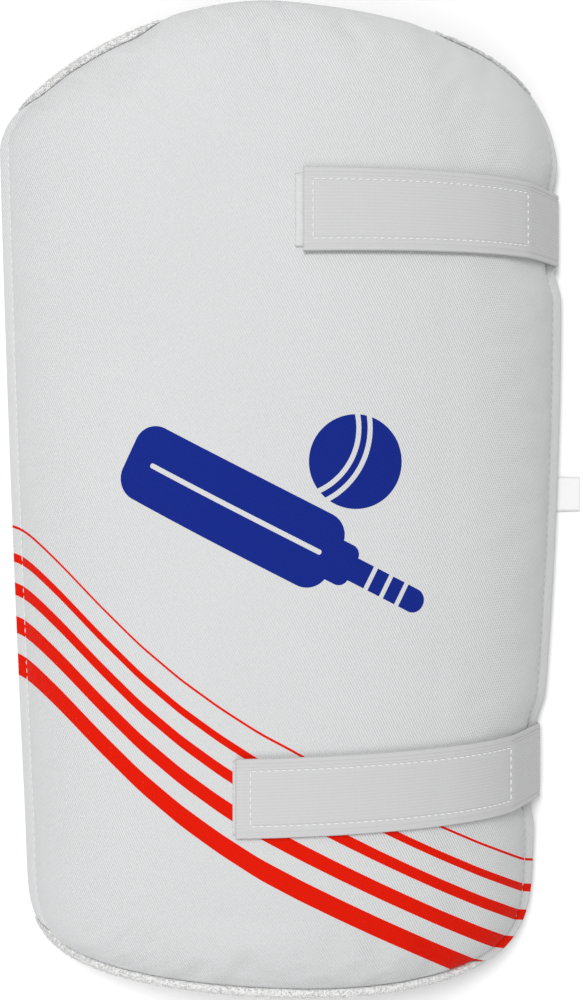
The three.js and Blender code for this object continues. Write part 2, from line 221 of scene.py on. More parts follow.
def roll_share(x, y):
    """How much of the flange the padding covers at a place."""
    place = x / (SHOULDER_WIDTH / 2)
    across = sum(roll["share"] * smoothstep(place, roll["from"], roll["to"]) for roll in ROLLS)
    return across * smoothstep(y / LENGTH, ROLL_START, ROLL_FULL)


def lip_reach():
    """How far the lining shows past the cover at each point of the outline."""
    place = OUTLINE[:, 0] / (SHOULDER_WIDTH / 2)
    shown = np.zeros(COUNT)
    for lip in LIPS:
        rise = smoothstep(place, lip["from"], lip["from"] + lip["fade"])
        fall = 1 - smoothstep(place, lip["to"] - lip["fade"], lip["to"])
        here = lip["end"] * OUTLINE[:, 1] > LENGTH / 4
        shown = np.maximum(shown, np.where(here, np.minimum(rise, fall), 0))
    return shown * np.maximum(0, SEAMS - FLANGE_WIDTH + LIP_WIDTH)


# How far in the seam lies at each point of the outline, and the lip's reach
SEAMS = FLANGE_WIDTH * (1 - roll_share(*OUTLINE.T))
LIP_REACH = lip_reach()

# The frame's model has its origin in the middle of its box
_panel_low, _panel_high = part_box("front_panel")
SHIFT = np.array([_panel_low.x - OUTLINE[:, 0].min(), _panel_high.y - OUTLINE[:, 1].max(), 0])
LIFT = STRAP_THICKNESS + CLEARANCE + (
    (CLEARANCE / 2 + LINING_THICKNESS)
    * (SHOULDER_WIDTH ** 2 / 4 + ARCH_RISE ** 2) / (SHOULDER_WIDTH ** 2 / 4 - ARCH_RISE ** 2)
)


def arch_height(x, y, layer):
    """Height of a layer over the arch where cover and lining meet."""
    width = np.where(x < 0, half_width(LEFT, y), half_width(RIGHT, y))
    across = np.minimum(np.abs(x), width)
    radius = (width ** 2 + ARCH_RISE ** 2) / (2 * ARCH_RISE)
    rise = np.sqrt(radius ** 2 - across ** 2)
    return LIFT + ARCH_RISE - radius + rise + layer * radius / rise


def soft_inset(x, y):
    """Distance to the outline, rounded over where two sides are equally near."""
    power = 8
    spread = math.sqrt(math.pi) * math.gamma((power - 1) / 2) / math.gamma(power / 2)
    result = np.empty(x.size)
    flat_x = x.ravel()
    flat_y = y.ravel()
    block = 4000
    for first in range(0, x.size, block):
        part = slice(first, first + block)
        squares = (
            (flat_x[part, None] - OUTLINE[None, :, 0]) ** 2
            + (flat_y[part, None] - OUTLINE[None, :, 1]) ** 2 + 1e-12
        )
        total = (STEP_LENGTHS[None, :] * squares ** (-power / 2)).sum(axis=1)
        result[part] = (total / spread) ** (-1 / (power - 1))
    return result.reshape(x.shape)


def rolled_inset(x, y):
    """Distance to the outline, counted as if the flange were full everywhere."""
    return soft_inset(x, y) + FLANGE_WIDTH * roll_share(x, y)


def pad_depth(inset):
    """Thickness of cover and foam at a distance in from the edge."""
    share = np.clip((inset - FLANGE_WIDTH) / CROWN_INSET, 0, 1)
    return lerp(FLANGE_THICKNESS, PAD_THICKNESS, np.sqrt(1 - (1 - share) ** 2))


def arc_across(x, y):
    """The cloth's own measure across the guard, taken along the arch."""
    width = np.where(x < 0, half_width(LEFT, y), half_width(RIGHT, y))
    radius = (width ** 2 + ARCH_RISE ** 2) / (2 * ARCH_RISE)
    return radius * np.arcsin(np.clip(x / radius, -1, 1))


def ring_points(out, layer):
    """A ring round the guard at a distance out from the outline."""
    out = np.broadcast_to(out, COUNT)
    x = OUTLINE[:, 0] + OUTWARD[:, 0] * out
    y = OUTLINE[:, 1] + OUTWARD[:, 1] * out
    return np.column_stack([x, y, arch_height(x, y, np.broadcast_to(layer, COUNT))])


# Mesh building


class Shell:
    """Gathers rings and fills into one closed mesh."""

    def __init__(self):
        self.points = []
        self.faces = []
        self.count = 0

    def add(self, points):
        first = self.count
        self.points.append(np.asarray(points, float))
        self.count += len(points)
        return np.arange(first, self.count)

    def join(self, a, b):
        """Quads between two closed rings, from the inner or upper one to the next."""
        following = np.roll(a, -1)
        beside = np.roll(b, -1)
        self.faces.extend(np.column_stack([a, b, beside, following]).tolist())

    def fill(self, edge, height, faces_up, steps, lift=None):
        """Columns that run in from a ring to a spine along the guard's middle."""
        spots = self.all_points()[edge]
        mirrored = (COUNT - np.arange(COUNT)) % COUNT
        limit = SPINE_SHARE * LENGTH
        spine_y = np.clip((spots[:, 1] + spots[mirrored, 1]) / 2, -limit, limit)
        unique, place = np.unique(np.round(spine_y, 9), return_inverse=True)
        zero = np.zeros_like(unique)
        spine = self.add(np.column_stack([zero, unique, height(zero, unique)]))[place]
        rings = [edge]
        for step in range(1, steps):
            share = (step / steps) ** FILL_GROWTH
            x = spots[:, 0] * (1 - share)
            y = lerp(spots[:, 1], spine_y, share)
            raised = 0 if lift is None else lift(1 + step)
            rings.append(self.add(np.column_stack([x, y, height(x, y) + raised])))
        rings.append(spine)
        for outer, inner in zip(rings, rings[1:]):
            quads = np.column_stack([outer, np.roll(outer, -1), np.roll(inner, -1), inner])
            if not faces_up:
                quads = quads[:, ::-1]
            for quad in quads.tolist():
                corners = list(dict.fromkeys(quad))
                if len(corners) > 2:
                    self.faces.append(corners)

    def all_points(self):
        return np.vstack(self.points)


def make_object(name, points, faces, material):
    """A mesh object in the frame's place, from points in the guard's own place."""
    mesh = bpy.data.meshes.new(name)
    mesh.from_pydata((np.asarray(points) + SHIFT).tolist(), [], faces)
    mesh.polygons.foreach_set("use_smooth", [True] * len(mesh.polygons))
    mesh.materials.append(material)
    mesh.update()
    piece = bpy.data.objects.new(name, mesh)
    bpy.context.scene.collection.objects.link(piece)
    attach(piece, "root")
    return piece


def store(piece, name, values):
    """Keeps a vector for each point, which the material reads by name."""
    layer = piece.data.attributes.new(name, "FLOAT_VECTOR", "POINT")
    layer.data.foreach_set("vector", np.asarray(values, np.float32).ravel())


def soft_noise(x, y, size, seed):
    """Smooth noise between -1 and 1 over the plan."""
    values = [
        noise.noise(Vector((a / size + seed, b / size - seed, seed * 0.37)))
        for a, b in zip(x, y)
    ]
    return np.array(values)


# Materials


class Nodes:
    """Wires the nodes of one cloth material."""

    def __init__(self, name, roughness, sheen=0.0, sheen_roughness=0.5):
        self.material = bpy.data.materials.new(name)
        self.material.use_nodes = True
        self.tree = self.material.node_tree
        self.shader = self.tree.nodes["Principled BSDF"]
        self.shader.inputs["Roughness"].default_value = roughness
        self.shader.inputs["Sheen Weight"].default_value = sheen
        self.shader.inputs["Sheen Roughness"].default_value = sheen_roughness
        self.shader.inputs["Specular IOR Level"].default_value = 0.25

    def link(self, value, socket):
        if isinstance(value, bpy.types.NodeSocket):
            self.tree.links.new(value, socket)
        else:
            socket.default_value = value

    def attribute(self, name):
        node = self.tree.nodes.new("ShaderNodeAttribute")
        node.attribute_name = name
        return node.outputs["Vector"]

    def place(self):
        return self.tree.nodes.new("ShaderNodeTexCoord").outputs["Object"]

    def split(self, vector):
        node = self.tree.nodes.new("ShaderNodeSeparateXYZ")
        self.link(vector, node.inputs[0])
        return node.outputs

    def math(self, operation, a, b=0.0, c=0.0):
        node = self.tree.nodes.new("ShaderNodeMath")
        node.operation = operation
        for value, socket in zip((a, b, c), node.inputs):
            self.link(value, socket)
        return node.outputs[0]

    def dot(self, vector, direction):
        node = self.tree.nodes.new("ShaderNodeVectorMath")
        node.operation = "DOT_PRODUCT"
        self.link(vector, node.inputs[0])
        node.inputs[1].default_value = direction
        return node.outputs["Value"]

    def noise(self, vector, size, detail=3.0):
        node = self.tree.nodes.new("ShaderNodeTexNoise")
        self.link(vector, node.inputs["Vector"])
        node.inputs["Scale"].default_value = 1 / size
        node.inputs["Detail"].default_value = detail
        return node.outputs["Fac"]

    def cells(self, vector, size):
        node = self.tree.nodes.new("ShaderNodeTexVoronoi")
        self.link(vector, node.inputs["Vector"])
        node.inputs["Scale"].default_value = 1 / size
        return node.outputs["Distance"]

    def waves(self, vector, pitch, degrees):
        """Even ridges between -1 and 1 that run at an angle to the first axis."""
        turn = math.radians(degrees)
        rate = 2 * math.pi / pitch
        across = (-math.sin(turn) * rate, math.cos(turn) * rate, 0.0)
        return self.math("SINE", self.dot(vector, across))

    def mix(self, share, a, b):
        node = self.tree.nodes.new("ShaderNodeMix")
        node.data_type = "RGBA"
        self.link(share, node.inputs["Factor"])
        self.link(a, node.inputs["A"])
        self.link(b, node.inputs["B"])
        return node.outputs["Result"]

    def shade(self, colour, share):
        """Multiplies a colour by a grey value."""
        node = self.tree.nodes.new("ShaderNodeVectorMath")
        node.operation = "SCALE"
        self.link(colour[:3] if isinstance(colour, tuple) else colour, node.inputs[0])
        self.link(share, node.inputs["Scale"])
        return node.outputs[0]

    def bump(self, height, distance):
        node = self.tree.nodes.new("ShaderNodeBump")
        node.inputs["Strength"].default_value = 1.0
        node.inputs["Distance"].default_value = distance
        self.link(height, node.inputs["Height"])
        self.link(node.outputs["Normal"], self.shader.inputs["Normal"])

    def colour(self, value):
        self.link(value, self.shader.inputs["Base Color"])


def opaque(colour):
    return (colour[0], colour[1], colour[2], 1.0)


def stripe_share(nodes, height):
    """1 on the printed stripes, from the height over the lowest stripe."""
    share = None
    for above, thickness in STRIPES:
        gap = nodes.math("ABSOLUTE", nodes.math("SUBTRACT", height, above * MM))
        stripe = nodes.math("LESS_THAN", gap, thickness * MM / 2)
        share = stripe if share is None else nodes.math("MAXIMUM", share, stripe)
    return share


def rounded_bar(nodes, x, y, centre, half_size, radius):
    """1 inside a bar with round corners."""
    dx = nodes.math("SUBTRACT", nodes.math("ABSOLUTE", nodes.math("SUBTRACT", x, centre[0] * MM)),
                    (half_size[0] - radius) * MM)
    dy = nodes.math("SUBTRACT", nodes.math("ABSOLUTE", nodes.math("SUBTRACT", y, centre[1] * MM)),
                    (half_size[1] - radius) * MM)
    ox = nodes.math("MAXIMUM", dx, 0.0)
    oy = nodes.math("MAXIMUM", dy, 0.0)
    reach = nodes.math("SQRT", nodes.math("ADD", nodes.math("MULTIPLY", ox, ox),
                                          nodes.math("MULTIPLY", oy, oy)))
    inside = nodes.math("MINIMUM", nodes.math("MAXIMUM", dx, dy), 0.0)
    return nodes.math("LESS_THAN", nodes.math("ADD", reach, inside), radius * MM)


def ring_share(nodes, x, y, centre, radius, half_thickness):
    """1 on a ring of a given thickness."""
    dx = nodes.math("SUBTRACT", x, centre[0] * MM)
    dy = nodes.math("SUBTRACT", y, centre[1] * MM)
    reach = nodes.math("SQRT", nodes.math("ADD", nodes.math("MULTIPLY", dx, dx),
                                          nodes.math("MULTIPLY", dy, dy)))
    gap = nodes.math("ABSOLUTE", nodes.math("SUBTRACT", reach, radius * MM))
    return nodes.math("LESS_THAN", gap, half_thickness * MM)


def motif_share(nodes, cloth):
    """1 on a printed bat and ball."""
    turn = math.radians(-27)
    along = (math.cos(turn), math.sin(turn), 0.0)
    upward = (-math.sin(turn), math.cos(turn), 0.0)
    x = nodes.dot(cloth, along)
    y = nodes.dot(cloth, upward)
    bat = rounded_bar(nodes, x, y, (-16, -11), (46, 15.5), 9)
    for centre, half_size, radius in (((31, -11), (7, 8.5), 4), ((51, -11), (19, 4.8), 4.6)):
        bat = nodes.math("MAXIMUM", bat, rounded_bar(nodes, x, y, centre, half_size, radius))
    bat = nodes.math("SUBTRACT", bat, rounded_bar(nodes, x, y, (-14, -11), (38, 1.0), 0.9))
    for band in (46, 53, 60):
        wrap = rounded_bar(nodes, x, y, (band, -11), (0.9, 6), 0.5)
        bat = nodes.math("MAXIMUM", nodes.math("SUBTRACT", bat, wrap), 0.0)
    ball = ring_share(nodes, x, y, (20, 27), 0, 18.5)
    seam = nodes.math("MAXIMUM", ring_share(nodes, x, y, (-9, 27), 27, 1.0),
                      ring_share(nodes, x, y, (-9, 27), 31.5, 1.0))
    ball = nodes.math("MULTIPLY", ball, nodes.math("SUBTRACT", 1.0, seam))
    return nodes.math("MAXIMUM", bat, ball)


def cover_material(sizes, colours):
    """White twill with its printed stripes and motif, and painted shade in its weave's valleys."""
    nodes = Nodes("cover twill", 0.78)
    nodes.shader.inputs["Specular IOR Level"].default_value = 0.05
    cloth = nodes.attribute("cloth")
    stripe = nodes.attribute("stripe")
    twill = nodes.waves(cloth, sizes.twill_pitch, sizes.twill_angle)
    slub = nodes.noise(cloth, 1.3 * MM)
    patchy = nodes.noise(cloth, 60 * MM)
    height = nodes.math("MULTIPLY_ADD", slub, 1.6, -0.8)
    height = nodes.math("ADD", height, twill)
    printed = nodes.mix(stripe_share(nodes, nodes.split(stripe)[0]),
                        opaque(colours.cover), opaque(colours.stripes))
    printed = nodes.mix(motif_share(nodes, cloth), printed, opaque(colours.motif))
    # Painted shade: the twill's lines and the slubs are coloured darker where they dip, as the shade
    # in the weave's valleys; patchy adds the cloth's own random tone.
    grey = nodes.math("MULTIPLY_ADD", height, sizes.twill_valley_shade, 1 - sizes.twill_valley_shade)
    grey = nodes.math("ADD", grey, nodes.math("MULTIPLY_ADD", patchy, 0.05, -0.025))
    nodes.colour(nodes.shade(printed, grey))
    nodes.bump(height, 0.1 * MM)
    return nodes.material


def towelling_material(colours):
    """Looped white towelling, with painted shade where its loops dip."""
    nodes = Nodes("towelling", 0.95, sheen=0.3, sheen_roughness=0.6)
    place = nodes.place()
    loops = nodes.cells(place, 1.1 * MM)
    clumps = nodes.noise(place, 5 * MM)
    height = nodes.math("SUBTRACT", nodes.math("MULTIPLY", clumps, 0.8), loops)
    # Painted shade: the towelling is coloured darker between the loops and on the lower clumps, as
    # the shade that falls there.
    grey = nodes.math("MULTIPLY_ADD", height, 0.12, 0.97)
    nodes.colour(nodes.shade(opaque(colours.lining), grey))
    nodes.bump(height, 0.5 * MM)
    return nodes.material


def elastic_material(sizes, colours):
    """Ribbed elastic webbing; strap holds the places along and across it."""
    nodes = Nodes("elastic webbing", 0.8, sheen=0.08)
    strap = nodes.attribute("strap")
    cross = nodes.waves(strap, sizes.weft_pitch, 90)
    ribs = nodes.waves(strap, RIB_PITCH, 0)
    streaks = nodes.noise(nodes.place(), 1.1 * MM)
    height = nodes.math("ADD", nodes.math("MULTIPLY", cross, 0.3), streaks)
    # Painted shade: the ribs, cross threads and streaks are coloured darker where they dip.
    shading = nodes.math("ADD", nodes.math("MULTIPLY", ribs, 0.7), height)
    grey = nodes.math("MULTIPLY_ADD", shading, 0.03, 0.96)
    nodes.colour(nodes.shade(opaque(colours.elastic), grey))
    nodes.bump(height, 0.06 * MM)
    return nodes.material


def grip_material(colours):
    """The fuzzy loop face of a grip patch."""
    nodes = Nodes("grip tape", 0.9, sheen=0.2)
    place = nodes.place()
    loops = nodes.cells(place, 0.6 * MM)
    height = nodes.math("ADD", loops, nodes.noise(place, 0.4 * MM))
    # Painted shade: the loop face is coloured darker where its pile dips.
    grey = nodes.math("MULTIPLY_ADD", height, 0.1, 0.9)
    nodes.colour(nodes.shade(opaque(colours.patch), grey))
    nodes.bump(height, 0.15 * MM)
    return nodes.material


def thread_material(colours):
    """Twisted white sewing thread."""
    nodes = Nodes("sewing thread", 0.6, sheen=0.1)
    twist = nodes.noise(nodes.place(), 0.3 * MM)
    # Painted shade: the thread is coloured darker where its twist dips.
    nodes.colour(nodes.shade(opaque(colours.thread), nodes.math("MULTIPLY_ADD", twist, 0.15, 0.9)))
    nodes.bump(twist, 0.05 * MM)
    return nodes.material


def satin_material(colours):
    """Close white satin tape."""
    nodes = Nodes("label satin", 0.45, sheen=0.1)
    place = nodes.place()
    weave = nodes.waves(place, 0.35 * MM, 0)
    # Painted shade: the weave's grooves are coloured darker.
    grey = nodes.math("MULTIPLY_ADD", weave, 0.02, 0.97)
    nodes.colour(nodes.shade(opaque(colours.label), grey))
    nodes.bump(weave, 0.02 * MM)
    return nodes.material


def floor_material(colours):
    """Plain pale paper."""
    nodes = Nodes("studio floor", 0.9)
    grain = nodes.noise(nodes.place(), 30 * MM)
    nodes.colour(nodes.shade(opaque(colours.floor), nodes.math("MULTIPLY_ADD", grain, 0.01, 0.99)))
    return nodes.material


# Pieces


def cover_relief(x, y, inset, sizes):
    """Puckers along the seam and the slight unevenness of the foam."""
    fade = smoothstep(inset, FLANGE_WIDTH, FLANGE_WIDTH + 4 * MM)
    fade = fade * (1 - smoothstep(inset, 12 * MM, 34 * MM))
    puckers = soft_noise(x, y, 15 * MM, 3.1) + 0.5 * soft_noise(x, y, 7 * MM, 8.7)
    swells = soft_noise(x, y, 55 * MM, 5.3) * smoothstep(inset, 15 * MM, 50 * MM)
    return sizes.pucker_depth * fade * puckers + sizes.swell_depth * swells


def seam_groove(inset, sizes):
    """The dip that the topstitch pulls into the cover."""
    away = (inset - FLANGE_WIDTH) / (0.55 * MM)
    return -sizes.groove_depth * np.exp(-away ** 2)


PANEL_INSETS = np.array([
    8.3, 7.5, 6.8, 6.2, 5.7, 5.35, 5.05, 4.8, 4.6, 4.4, 4.15, 3.8, 3.3, 2.5, 1.7, 0.9, 0.35, 0.08,
]) * MM


def ring_inset(inset):
    """How far in a ring of the cover lies, from its place where the flange is full."""
    start = PANEL_INSETS[0]
    if inset < FLANGE_WIDTH:
        return lerp(LIP_REACH, SEAMS, inset / FLANGE_WIDTH)
    return lerp(SEAMS, start, (inset - FLANGE_WIDTH) / (start - FLANGE_WIDTH))


def panel_ring(inset, sizes):
    """Places of a ring of the cover, and the layer height of the cover's face there."""
    actual = ring_inset(inset)
    x = OUTLINE[:, 0] - OUTWARD[:, 0] * actual
    y = OUTLINE[:, 1] - OUTWARD[:, 1] * actual
    own = actual + FLANGE_WIDTH - SEAMS
    near = smoothstep(inset, FLANGE_WIDTH, PANEL_INSETS[0])
    rounded = lerp(own, rolled_inset(x, y), near)
    layer = pad_depth(rounded) + seam_groove(own, sizes) * SEAMS / FLANGE_WIDTH
    edge = np.clip((actual - LIP_REACH) / (0.9 * MM), 0, 1)
    layer = layer - 0.5 * MM * (1 - np.sqrt(1 - (1 - edge) ** 2))
    return x, y, layer + cover_relief(x, y, rounded, sizes)


def stripe_height(points, sizes):
    """Each point's height over the lowest stripe, as it looks from the camera."""
    gaps = np.hypot(points[:, None, 0] - OUTLINE[None, ::3, 0],
                    points[:, None, 1] - OUTLINE[None, ::3, 1]).min(axis=1)
    even = np.arange(-140, 140) * MM
    table = np.interp(even, *np.transpose(SWEEP) * MM)
    weights = np.exp(-(np.arange(-15, 16) * MM / SWEEP_ROUNDING) ** 2 / 2)
    rounded = np.convolve(np.pad(table, 15, mode="edge"), weights / weights.sum(), mode="valid")
    nearer = sizes.camera_height / (sizes.camera_height - points[:, 2])
    x = (points[:, 0] - sizes.camera_across) * nearer
    y = points[:, 1] * nearer
    spread = np.interp(x, np.transpose(SPREAD)[0] * MM, np.transpose(SPREAD)[1])
    folded = np.where(x > 0, np.maximum(0, FLANGE_WIDTH - gaps), 0)
    return (y - np.interp(x - STRIPE_FOLD * folded, even, rounded)) / spread


def band_rows(sizes):
    """The cover's band along the seam: how far in each row is, and its places."""
    start = PANEL_INSETS[0]
    rows = []
    for inset in (FLANGE_WIDTH, 5.7 * MM, 7 * MM, start):
        rows.append((inset / start, OUTLINE - OUTWARD * ring_inset(inset)[:, None]))
    edge = rows[-1][1]
    mirrored = (COUNT - np.arange(COUNT)) % COUNT
    limit = SPINE_SHARE * LENGTH
    spine_y = np.clip((edge[:, 1] + edge[mirrored, 1]) / 2, -limit, limit)
    spine = np.column_stack([np.zeros(COUNT), spine_y])
    for step in range(2, FILL_STEPS // 2, 2):
        rows.append((1 + step, lerp(edge, spine, (step / FILL_STEPS) ** FILL_GROWTH)))
    return rows


def simulate_cloth(sizes):
    """Lets the gathered cloth settle over the foam; gives how far it moved up."""
    rows = band_rows(sizes)
    picked = np.arange(0, COUNT - 1, 3)
    places = []
    for _, spots in rows:
        x, y = spots[picked].T
        inset = rolled_inset(x, y)
        z = arch_height(x, y, pad_depth(inset) + cover_relief(x, y, inset, sizes))
        places.append(np.column_stack([x, y, z]))
    places = np.vstack(places)
    count = len(picked)
    index = np.arange(len(places)).reshape(len(rows), count)
    faces = []
    for outer, inner in zip(index, index[1:]):
        quads = np.column_stack([outer, np.roll(outer, -1), np.roll(inner, -1), inner])
        faces.extend(quads.tolist())
    mesh = bpy.data.meshes.new("settling_cloth")
    mesh.from_pydata(places.tolist(), [], faces)
    mesh.update()
    cloth = bpy.data.objects.new("settling_cloth", mesh)
    bpy.context.scene.collection.objects.link(cloth)

    held = cloth.vertex_groups.new(name="held")
    held.add(index[[0, -1]].ravel().tolist(), 1.0, "REPLACE")
    tight = cloth.vertex_groups.new(name="tight")
    for number, row in enumerate(index):
        tight.add(row.tolist(), min(1.0, number / (len(rows) - 3)), "REPLACE")
    modifier = cloth.modifiers.new("settle", "CLOTH")
    settings = modifier.settings
    settings.quality = 6
    settings.mass = 0.25
    settings.tension_stiffness = 18
    settings.compression_stiffness = 18
    settings.shear_stiffness = 6
    settings.bending_stiffness = 0.25
    settings.air_damping = 3
    settings.vertex_group_mass = "held"
    settings.vertex_group_shrink = "tight"
    settings.shrink_min = -sizes.gathering
    settings.use_pressure = True
    settings.uniform_pressure_force = sizes.cloth_pressure
    settings.effector_weights.gravity = 0
    modifier.collision_settings.use_collision = False
    modifier.point_cache.frame_start = 1
    modifier.point_cache.frame_end = SETTLE_FRAMES
    scene = bpy.context.scene
    for step in range(1, SETTLE_FRAMES + 1):
        scene.frame_set(step)
    settled = cloth.evaluated_get(bpy.context.evaluated_depsgraph_get())
    moved = np.empty(len(places) * 3)
    settled.data.vertices.foreach_get("co", moved)
    rise = (moved.reshape(-1, 3) - places)[:, 2].reshape(len(rows), count)
    scene.frame_set(1)
    bpy.data.objects.remove(cloth)
    bpy.data.meshes.remove(mesh)

    rise = MOST_RISE * np.tanh(rise / MOST_RISE)
    everywhere = [np.interp(np.arange(COUNT), picked, row, period=COUNT) for row in rise]
    return np.array([way for way, _ in rows]), np.array(everywhere)


def cloth_lift(sizes):
    """A function that gives the settled cloth's lift for a row of the cover."""
    ways, rises = simulate_cloth(sizes)

    def lift(way):
        after = int(np.searchsorted(ways, way))
        if after == 0 or after == len(ways):
            return np.zeros(COUNT)
        share = (way - ways[after - 1]) / (ways[after] - ways[after - 1])
        return lerp(rises[after - 1], rises[after], share)

    return lift


def make_cover(sizes, material):
    """The printed cover over its foam."""
    shell = Shell()
    rings = []
    lift = cloth_lift(sizes)
    for inset in PANEL_INSETS:
        x, y, layer = panel_ring(inset, sizes)
        z = arch_height(x, y, layer) + lift(inset / PANEL_INSETS[0])
        rings.append(shell.add(np.column_stack([x, y, z])))
    rings.append(shell.add(ring_points(-LIP_REACH, 0.75 * MM)))
    rings.append(shell.add(ring_points(-LIP_REACH - 0.2 * MM, CLEARANCE / 2)))
    rings.append(shell.add(ring_points(-8 * MM, CLEARANCE / 2)))
    for a, b in zip(rings, rings[1:]):
        shell.join(a, b)

    def top(x, y):
        inset = rolled_inset(x, y)
        return arch_height(x, y, pad_depth(inset) + cover_relief(x, y, inset, sizes))

    shell.fill(rings[0], top, True, FILL_STEPS, lift)
    shell.fill(rings[-1], lambda x, y: arch_height(x, y, CLEARANCE / 2), False, 8)
    points = shell.all_points()
    cover = make_object("cover", points, shell.faces, material)
    x, y = points[:, 0], points[:, 1]
    store(cover, "cloth", np.column_stack([arc_across(x, y), y, np.zeros_like(x)]))
    over = stripe_height(points, sizes)
    store(cover, "stripe", np.column_stack([over, over * 0, over * 0]))
    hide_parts("front_panel")
    return cover


def make_lining(material):
    """The towelling lining with its rolled lip."""
    lips = LIP_REACH
    slid = np.clip(lips / (LIP_WIDTH / 6), 0, 1)
    rolled = np.where(slid == 1, np.clip((lips - LIP_WIDTH / 6) / (LIP_WIDTH / 3), 0, 1), 0)
    face = -CLEARANCE / 2
    back = face - LINING_THICKNESS
    start = lerp(-3 * CLEARANCE, CLEARANCE, slid) - lips
    width = np.maximum(CLEARANCE, lips - CLEARANCE)
    shell = Shell()
    rings = [shell.add(ring_points(-inset * MM, face)) for inset in (12, 8, 4.8)]
    rim = (
        (0.02, 0), (0.03, 0.45), (0.1, 0.75), (0.25, 0.94), (0.42, 1.0), (0.6, 0.92),
        (0.78, 0.7), (0.92, 0.35), (1.0, -0.05), (0.99, -0.35), (0.88, -0.62), (0.66, -0.84),
        (0.3, -0.96), (-0.3, -1),
    )
    rolls = []
    for number, (out, up) in enumerate(rim):
        crest = LIP_HEIGHT * rolled if up > 0 else LINING_THICKNESS
        spot_out = start + out * width
        layer = face + up * crest
        ring = ring_points(spot_out, layer)
        wobble = soft_noise(ring[:, 0], ring[:, 1], 2.2 * MM, 11.0 + number)
        ring[:, 2] += 0.16 * MM * wobble * slid
        rolls.append(ring)
        rings.append(shell.add(ring))
    rings.append(shell.add(ring_points(-7 * MM, back)))
    rings.append(shell.add(ring_points(-12 * MM, back)))
    for a, b in zip(rings, rings[1:]):
        shell.join(a, b)

    def underside(x, y):
        return arch_height(x, y, back + 0.25 * MM * soft_noise(x, y, 30 * MM, 2.0))

    shell.fill(rings[0], lambda x, y: arch_height(x, y, face), True, 8)
    shell.fill(rings[-1], underside, False, FILL_STEPS)
    lining = make_object("lining", shell.all_points(), shell.faces, material)
    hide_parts("back_lining")
    pile = make_pile(np.array(rolls), lips, material)
    return lining


def make_pile(rolls, lips, material):
    """Loops of towelling that stand up from the rolled lip."""
    random = np.random.default_rng(11)
    columns = np.flatnonzero(lips > 0.3 * LIP_WIDTH)
    count = int(len(columns) * LOOPS_PER_COLUMN)
    column = random.choice(columns, count)
    row = random.uniform(2, len(rolls) - 4, count)
    low = row.astype(int)
    share = (row - low)[:, None]
    after = (column + 1) % COUNT
    spots = lerp(rolls[low, column], rolls[low + 1, column], share)
    spots = lerp(spots, lerp(rolls[low, after], rolls[low + 1, after], share),
                 random.uniform(0, 1, (count, 1)))
    ahead = rolls[low, after] - rolls[low, column]
    ahead /= np.linalg.norm(ahead, axis=1)[:, None]
    around = rolls[low + 1, column] - rolls[low, column]
    out = np.cross(around, ahead)
    out /= np.linalg.norm(out, axis=1)[:, None]
    side = np.cross(out, ahead)
    turn = random.uniform(0, math.pi, (count, 1))
    run = ahead * np.cos(turn) + side * np.sin(turn)
    out = out + side * random.uniform(-0.35, 0.35, (count, 1))
    height = random.uniform(0.25, 0.6, (count, 1)) * MM
    span = random.uniform(0.3, 0.5, (count, 1)) * MM
    thick = 0.13 * MM
    points = []
    for angle in np.linspace(0, math.pi, 6):
        middle = spots + run * span * math.cos(angle) + out * (height * math.sin(angle) - 0.1 * MM)
        away = run * math.cos(angle) + out * math.sin(angle)
        beside = np.cross(run, out)
        for spin in (0, 2 * math.pi / 3, 4 * math.pi / 3):
            points.append(middle + thick * (away * math.cos(spin) + beside * math.sin(spin)))
    points = np.array(points).transpose(1, 0, 2).reshape(-1, 3)
    first = np.arange(count)[:, None] * 18
    faces = []
    for ring in range(5):
        for k in range(3):
            a = ring * 3 + k
            b = ring * 3 + (k + 1) % 3
            faces.append(first + np.array([[a, b, b + 3, a + 3]]))
    faces = np.vstack(faces).tolist()
    ends = np.vstack([first + np.array([[2, 1, 0]]), first + np.array([[15, 16, 17]])]).tolist()
    pile = make_object("lip_pile", points, faces + ends, material)
    return pile


def strap_middle(strap, share):
    return LENGTH * lerp(strap["at_end"], strap["at_rim"], share)


class Surface:
    """The made pad, asked for its height and its section."""

    def __init__(self, *pieces):
        self.points = []
        for piece in pieces:
            count = len(piece.data.vertices)
            points = np.empty(count * 3)
            piece.data.vertices.foreach_get("co", points)
            self.points.append(points.reshape(-1, 3) - SHIFT)
        self.first = pieces[0]

    def height(self, x, y):
        """Height of the first piece's face at places seen from above."""
        down = Vector((0, 0, -1))
        heights = []
        for a, b in zip(np.ravel(x), np.ravel(y)):
            origin = Vector((a, b, 0.2)) + Vector(SHIFT)
            hit, place, _, _ = self.first.ray_cast(origin, down)
            if not hit:
                raise ValueError("a patch or stitch lies outside the cover")
            heights.append(place.z)
        return np.array(heights).reshape(np.shape(x))

    def between(self, low, high):
        """Places in x and z of the points between two planes across the guard."""
        chosen = [points[(points[:, 1] >= low) & (points[:, 1] <= high)] for points in self.points]
        return np.vstack(chosen)[:, [0, 2]]


def hull_chain(points):
    """One side of a convex hull, for points in order along the way round."""
    chain = []
    for point in points:
        while len(chain) > 1:
            a = chain[-1] - chain[-2]
            b = point - chain[-1]
            if a[0] * b[1] - a[1] * b[0] < 0:
                break
            chain.pop()
        chain.append(point)
    return chain


def taut_line(section, start, floor):
    """The taut line over the pad from the free end down to the floor."""
    by_x = section[np.lexsort((section[:, 1], section[:, 0]))]
    over = hull_chain(by_x)
    right = section[section[:, 0] > 0]
    lowest = right[np.argmin(right[:, 1])]
    rim = over[-1]
    under = section[(section[:, 0] >= lowest[0]) & (section[:, 1] <= rim[1])]
    under = hull_chain(under[np.lexsort((-under[:, 1], -under[:, 0]))])
    after = next(i for i, point in enumerate(over) if point[0] > start)
    before = over[after - 1]
    share = (start - before[0]) / (over[after][0] - before[0])
    line = [lerp(before, over[after], share)]
    touchdown = np.array([lowest[0], floor])
    for point in [*over[after:], *under[1:-1], touchdown]:
        if np.hypot(*(point - line[-1])) > CLEARANCE:
            line.append(point)
    return np.array(line)


